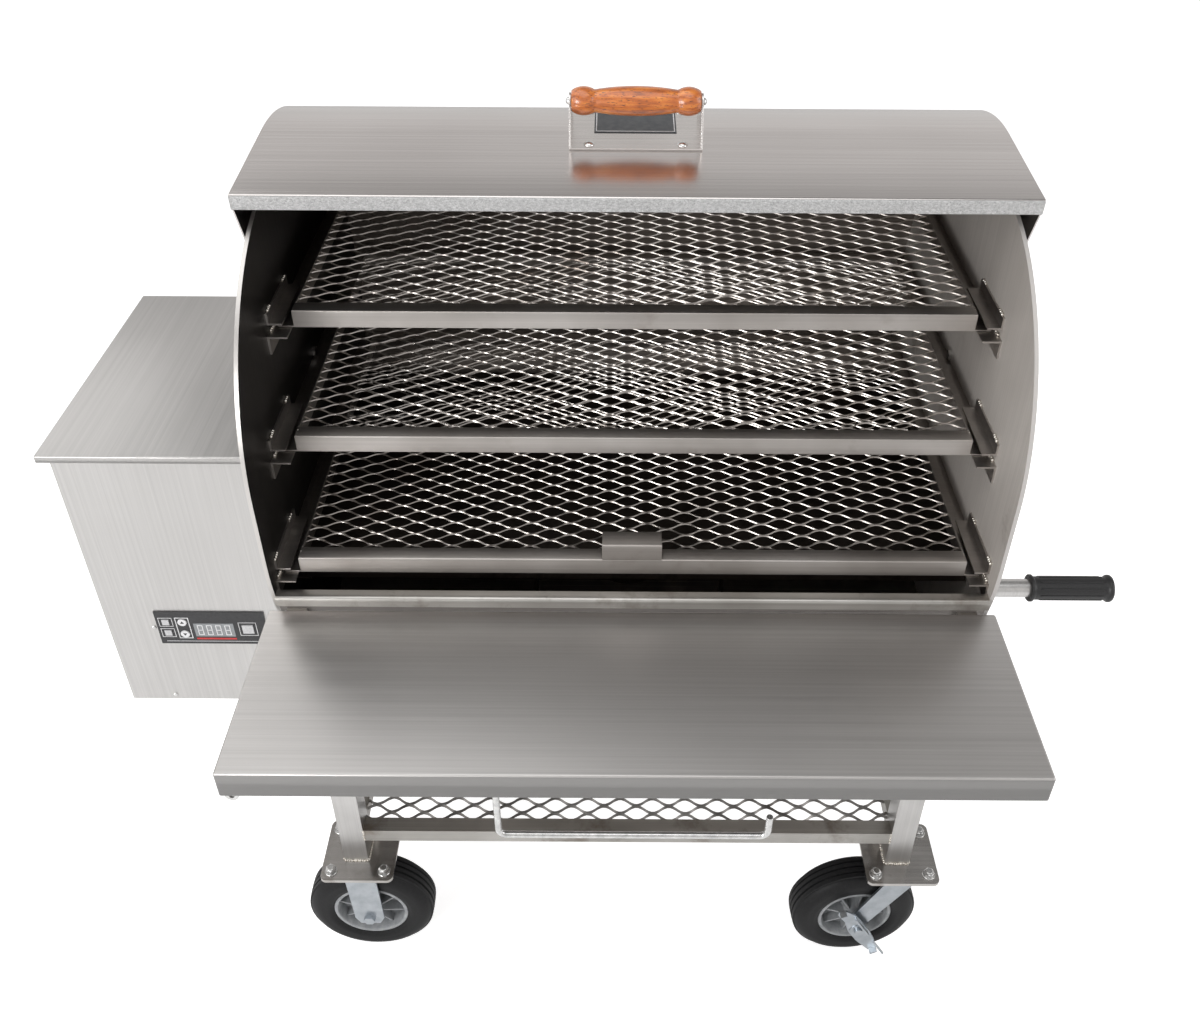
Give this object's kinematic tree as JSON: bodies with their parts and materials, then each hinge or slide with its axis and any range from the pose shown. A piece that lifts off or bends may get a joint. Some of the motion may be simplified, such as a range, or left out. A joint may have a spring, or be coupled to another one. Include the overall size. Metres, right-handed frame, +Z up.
{
  "type": "barrel pellet grill",
  "caption": "Barrel pellet grill on a wheeled cart, with a roll-top lid on end pivots, slide-out mesh racks, an auger-fed side hopper, a front shelf and casters",
  "frame": {"origin": "on the floor, under the middle of the whole footprint, hopper, front shelf and push handle included", "axes": "+X to the right and +Y to the back as seen from the front, +Z up; the barrel and the lid pivots lie along X"},
  "size_m": [1.431, 0.962, 1.3806],
  "materials": {
    "stainless": "brushed, fine grain along the width",
    "rack_steel": "mill finish with heat tint",
    "sooted_steel": "smoke-darkened",
    "zinc": "bright zinc plate",
    "hardwood": "glossy clear lacquer",
    "gasket": "woven glass rope tape",
    "black_plastic": "matte",
    "key_plastic": "matte",
    "rubber": "matte",
    "tyre": "ribbed",
    "hub_plastic": "satin",
    "nameplate": "satin"
  },
  "bodies": {
    "frame": {"left_end_plate": "sooted_steel", "right_end_plate": "stainless", "barrel_shell": "sooted_steel", "front_sill": "stainless", "rack_runners": "rack_steel", "drip_pan": "sooted_steel", "heat_baffle": "sooted_steel", "fire_pot": "sooted_steel", "auger_tube": "sooted_steel", "igniter_rod": "sooted_steel", "temperature_probe": "stainless", "rear_vent": "stainless", "lid_pivot_pins": "zinc", "hopper_body": "stainless", "pellet_chute": "sooted_steel", "controller_panel": "black_plastic", "auger_motor": "sooted_steel", "fan_housing": "sooted_steel", "power_inlet": "black_plastic", "panel_screws": "zinc", "front_shelf": "stainless", "shelf_arms": "stainless", "towel_holder": "stainless", "cart_legs": "stainless", "cart_rails": "stainless", "lower_shelf_mesh": "rack_steel", "caster_plates": "stainless", "caster_bolts": "zinc", "push_handle_tube": "stainless", "handle_grip": "rubber", "rigid_forks": "zinc"},
    "lid": {"lid_shell": "stainless", "lid_gasket": "gasket", "handle_bracket": "stainless", "wood_handle": "hardwood", "handle_fasteners": "zinc", "name_plate": "nameplate"},
    "top_rack_body": {"top_rack": "rack_steel"},
    "middle_rack_body": {"middle_rack": "rack_steel"},
    "bottom_rack_body": {"bottom_rack": "rack_steel"},
    "hopper_cover": {"hopper_lid": "stainless"},
    "front_left_wheel": {"front_left_tyre": "tyre", "front_left_hub": "hub_plastic"},
    "rear_left_wheel": {"rear_left_tyre": "tyre", "rear_left_hub": "hub_plastic"},
    "front_right_caster": {"front_right_fork": "zinc"},
    "front_right_wheel": {"front_right_tyre": "tyre", "front_right_hub": "hub_plastic"},
    "front_right_pedal": {"front_right_brake": "zinc"},
    "rear_right_caster": {"rear_right_fork": "zinc"},
    "rear_right_wheel": {"rear_right_tyre": "tyre", "rear_right_hub": "hub_plastic"},
    "rear_right_pedal": {"rear_right_brake": "zinc"},
    "auger": {"auger_screw": "sooted_steel"},
    "fan": {"fan_wheel": "black_plastic"},
    "power_button": {"power_key": "key_plastic"},
    "menu_button": {"menu_key": "key_plastic"},
    "up_button": {"up_key": "key_plastic"},
    "down_button": {"down_key": "key_plastic"},
    "select_button": {"select_key": "key_plastic"}
  },
  "joints": [
    {"name": "lid_roll", "type": "hinge", "parent": "frame", "child": "lid", "pos_m": [0.0525, 0.117, 0.94], "axis": [1, 0, 0], "range_deg": [0, 85]},
    {"name": "top_rack_slide", "type": "slide", "parent": "frame", "child": "top_rack_body", "axis": [0, 1, 0], "range_m": [-0.28, 0]},
    {"name": "middle_rack_slide", "type": "slide", "parent": "frame", "child": "middle_rack_body", "axis": [0, 1, 0], "range_m": [-0.28, 0]},
    {"name": "bottom_rack_slide", "type": "slide", "parent": "frame", "child": "bottom_rack_body", "axis": [0, 1, 0], "range_m": [-0.28, 0]},
    {"name": "hopper_lid_hinge", "type": "hinge", "parent": "frame", "child": "hopper_cover", "pos_m": [-0.5475, 0.313, 0.962], "axis": [1, 0, 0], "range_deg": [-100, 0]},
    {"name": "front_left_spin", "type": "hinge", "parent": "frame", "child": "front_left_wheel", "pos_m": [-0.372, -0.177, 0.103], "axis": [0, 1, 0], "continuous": true},
    {"name": "rear_left_spin", "type": "hinge", "parent": "frame", "child": "rear_left_wheel", "pos_m": [-0.372, 0.411, 0.103], "axis": [0, 1, 0], "continuous": true},
    {"name": "front_right_swivel", "type": "hinge", "parent": "frame", "child": "front_right_caster", "pos_m": [0.4905, -0.177, 0.215], "axis": [0, 0, 1], "continuous": true},
    {"name": "front_right_spin", "type": "hinge", "parent": "front_right_caster", "child": "front_right_wheel", "pos_m": [0.43164, -0.18112, 0.103], "axis": [-0.0698, 0.9976, 0], "continuous": true},
    {"name": "front_right_brake_tilt", "type": "hinge", "parent": "front_right_caster", "child": "front_right_pedal", "pos_m": [0.43164, -0.18112, 0.103], "axis": [-0.0698, 0.9976, 0], "range_deg": [0, 20]},
    {"name": "rear_right_swivel", "type": "hinge", "parent": "frame", "child": "rear_right_caster", "pos_m": [0.4905, 0.411, 0.215], "axis": [0, 0, 1], "continuous": true},
    {"name": "rear_right_spin", "type": "hinge", "parent": "rear_right_caster", "child": "rear_right_wheel", "pos_m": [0.43164, 0.40688, 0.103], "axis": [-0.0698, 0.9976, 0], "continuous": true},
    {"name": "rear_right_brake_tilt", "type": "hinge", "parent": "rear_right_caster", "child": "rear_right_pedal", "pos_m": [0.43164, 0.40688, 0.103], "axis": [-0.0698, 0.9976, 0], "range_deg": [0, 20]},
    {"name": "auger_spin", "type": "hinge", "parent": "frame", "child": "auger", "pos_m": [-0.3475, 0.117, 0.665], "axis": [1, 0, 0], "continuous": true},
    {"name": "fan_spin", "type": "hinge", "parent": "frame", "child": "fan", "pos_m": [-0.4775, 0.227, 0.595], "axis": [1, 0, 0], "continuous": true},
    {"name": "power_press", "type": "slide", "parent": "frame", "child": "power_button", "axis": [0, 1, 0], "range_m": [0, 0.0008], "stiffness_N_per_m": 800},
    {"name": "menu_press", "type": "slide", "parent": "frame", "child": "menu_button", "axis": [0, 1, 0], "range_m": [0, 0.0008], "stiffness_N_per_m": 800},
    {"name": "up_press", "type": "slide", "parent": "frame", "child": "up_button", "axis": [0, 1, 0], "range_m": [0, 0.0008], "stiffness_N_per_m": 800},
    {"name": "down_press", "type": "slide", "parent": "frame", "child": "down_button", "axis": [0, 1, 0], "range_m": [0, 0.0008], "stiffness_N_per_m": 800},
    {"name": "select_press", "type": "slide", "parent": "frame", "child": "select_button", "axis": [0, 1, 0], "range_m": [0, 0.0008], "stiffness_N_per_m": 800}
  ]
}
